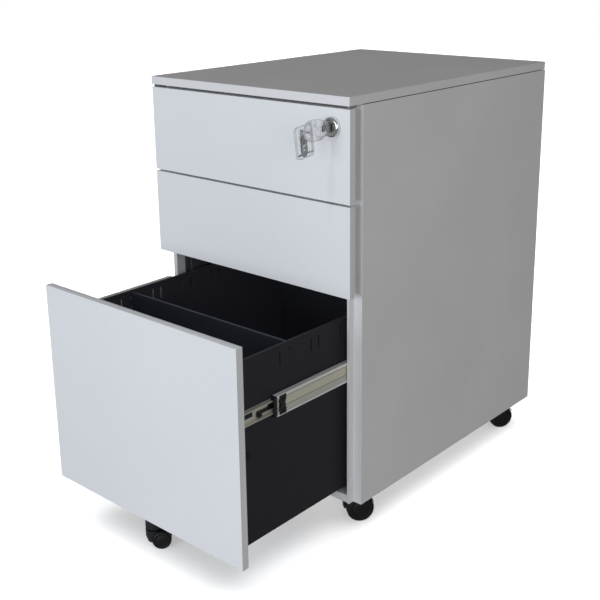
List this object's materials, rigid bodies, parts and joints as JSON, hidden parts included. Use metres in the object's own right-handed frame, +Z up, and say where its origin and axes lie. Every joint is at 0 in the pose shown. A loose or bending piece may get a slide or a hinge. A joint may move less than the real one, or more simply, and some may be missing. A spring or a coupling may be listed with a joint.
{
  "type": "rolling pedestal cabinet",
  "caption": "Steel office pedestal on casters: two shallow drawers over an open file drawer on ball slides, central lock with a folding key, stepped finger-pull sides.",
  "frame": {"origin": "On the floor, under the middle of the model's bounding box as it stands with the file drawer part open.", "axes": "+X to the cabinet's right seen from the front, +Y from the drawer fronts to the back, +Z up"},
  "size_m": [0.39, 0.741, 0.653],
  "materials": {
    "body_paint": "fine satin powder coat",
    "cap_paint": "fine satin powder coat",
    "front_paint": "smooth satin powder coat",
    "liner_paint": "satin powder coat",
    "box_paint": "black satin powder coat",
    "upright_paint": "grey primer",
    "zinc": "zinc plated, drawn along its length",
    "rail_zinc": "dull zinc plated",
    "chrome": "polished",
    "lock_metal": "turned zinc alloy",
    "key_steel": "nickel plated",
    "clear_plastic": "clear moulded plastic",
    "black_plastic": "moulded, slightly glossy",
    "guide_plastic": "natural nylon",
    "wheel_plastic": "moulded nylon",
    "plate_steel": "zinc plated"
  },
  "bodies": {
    "carcass": {"side_panel_left": "body_paint", "side_panel_right": "body_paint", "back_panel": "body_paint", "base_panel": "body_paint", "front_rail": "body_paint", "top_cap": "cap_paint", "top_frame": "body_paint", "slide_uprights": "upright_paint", "slide_outer_top": "zinc", "slide_outer_middle": "zinc", "slide_outer_file": "zinc", "caster_plates": "plate_steel", "caster_screws": "plate_steel", "lock_bar_guides": "guide_plastic"},
    "lock_bar": {"lock_bar": "plate_steel"},
    "top_drawer": {"top_drawer_front": "front_paint", "top_drawer_liner": "liner_paint", "top_drawer_box": "box_paint", "top_slide_inner": "zinc", "top_drawer_catch": "box_paint", "lock_housing": "chrome"},
    "middle_drawer": {"middle_drawer_front": "front_paint", "middle_drawer_liner": "liner_paint", "middle_drawer_box": "box_paint", "middle_slide_inner": "zinc", "middle_drawer_catch": "box_paint"},
    "file_drawer": {"file_drawer_front": "front_paint", "file_drawer_liner": "liner_paint", "file_drawer_box": "box_paint", "file_slide_inner": "zinc", "file_drawer_catch": "box_paint", "file_divider": "box_paint", "file_rail": "rail_zinc", "file_slide_levers": "black_plastic", "file_caster_bracket": "box_paint", "file_caster_plate": "box_paint"},
    "file_mid": {"file_slide_mid": "zinc", "file_slide_retainers": "black_plastic"},
    "lock_plug": {"lock_plug": "lock_metal", "lock_cam": "plate_steel"},
    "key": {"key_blade": "key_steel", "key_hub": "clear_plastic", "key_pin": "clear_plastic"},
    "key_bow": {"key_bow": "clear_plastic", "key_insert": "lock_metal"},
    "front_left_swivel": {"front_left_hood": "black_plastic"},
    "front_left_rollers": {"front_left_wheels": "wheel_plastic", "front_left_axle": "plate_steel"},
    "front_right_swivel": {"front_right_hood": "black_plastic"},
    "front_right_rollers": {"front_right_wheels": "wheel_plastic", "front_right_axle": "plate_steel"},
    "rear_left_swivel": {"rear_left_hood": "black_plastic"},
    "rear_left_rollers": {"rear_left_wheels": "wheel_plastic", "rear_left_axle": "plate_steel"},
    "rear_right_swivel": {"rear_right_hood": "black_plastic"},
    "rear_right_rollers": {"rear_right_wheels": "wheel_plastic", "rear_right_axle": "plate_steel"},
    "file_swivel": {"file_hood": "black_plastic"},
    "file_rollers": {"file_wheels": "wheel_plastic", "file_axle": "plate_steel"}
  },
  "joints": [
    {"name": "top_drawer_slide", "type": "slide", "parent": "carcass", "child": "top_drawer", "axis": [0, -1, 0], "range_m": [0, 0.33]},
    {"name": "middle_drawer_slide", "type": "slide", "parent": "carcass", "child": "middle_drawer", "axis": [0, -1, 0], "range_m": [0, 0.33]},
    {"name": "file_drawer_slide", "type": "slide", "parent": "carcass", "child": "file_drawer", "axis": [0, -1, 0], "range_m": [-0.221, 0.195]},
    {"name": "file_mid_slide", "type": "slide", "parent": "carcass", "child": "file_mid", "axis": [0, -1, 0], "range_m": [-0.1505, 0.133]},
    {"name": "lock_turn", "type": "hinge", "parent": "top_drawer", "child": "lock_plug", "pos_m": [0.165, -0.1495, 0.611], "axis": [0, 1, 0], "range_deg": [0, 90]},
    {"name": "lock_bar_lift", "type": "slide", "parent": "carcass", "child": "lock_bar", "axis": [0, 0, 1], "range_m": [0, 0.0107]},
    {"name": "key_pull", "type": "slide", "parent": "lock_plug", "child": "key", "axis": [0, -1, 0], "range_m": [0, 0.022]},
    {"name": "key_fold", "type": "hinge", "parent": "key", "child": "key_bow", "pos_m": [0.1594, -0.2003, 0.611], "axis": [-1, 0, 0], "range_deg": [-90, 90]},
    {"name": "front_left_turn", "type": "hinge", "parent": "carcass", "child": "front_left_swivel", "pos_m": [-0.15, -0.0955, 0.045], "axis": [0, 0, 1], "continuous": true},
    {"name": "front_left_roll", "type": "hinge", "parent": "front_left_swivel", "child": "front_left_rollers", "pos_m": [-0.1359, -0.09037, 0.021], "axis": [0.342, -0.9397, 0], "continuous": true},
    {"name": "front_right_turn", "type": "hinge", "parent": "carcass", "child": "front_right_swivel", "pos_m": [0.15, -0.0955, 0.045], "axis": [0, 0, 1], "continuous": true},
    {"name": "front_right_roll", "type": "hinge", "parent": "front_right_swivel", "child": "front_right_rollers", "pos_m": [0.15923, -0.08368, 0.021], "axis": [0.788, -0.6157, 0], "continuous": true},
    {"name": "rear_left_turn", "type": "hinge", "parent": "carcass", "child": "rear_left_swivel", "pos_m": [-0.15, 0.3145, 0.045], "axis": [0, 0, 1], "continuous": true},
    {"name": "rear_left_roll", "type": "hinge", "parent": "rear_left_swivel", "child": "rear_left_rollers", "pos_m": [-0.1364, 0.30816, 0.021], "axis": [-0.4226, -0.9063, 0], "continuous": true},
    {"name": "rear_right_turn", "type": "hinge", "parent": "carcass", "child": "rear_right_swivel", "pos_m": [0.15, 0.3145, 0.045], "axis": [0, 0, 1], "continuous": true},
    {"name": "rear_right_roll", "type": "hinge", "parent": "rear_right_swivel", "child": "rear_right_rollers", "pos_m": [0.15882, 0.32664, 0.021], "axis": [0.809, -0.5878, 0], "continuous": true},
    {"name": "file_turn", "type": "hinge", "parent": "file_drawer", "child": "file_swivel", "pos_m": [-0.016, -0.3395, 0.03015], "axis": [0, 0, 1], "continuous": true},
    {"name": "file_roll", "type": "hinge", "parent": "file_swivel", "child": "file_rollers", "pos_m": [-0.00889, -0.33239, 0.01407], "axis": [0.7071, -0.7071, 0], "continuous": true}
  ],
  "couplings": [
    {"joint": "file_mid_slide", "follows": "file_drawer_slide", "ratio": 0.68},
    {"joint": "lock_bar_lift", "follows": "lock_turn", "m_per_rad": 0.0067525}
  ]
}
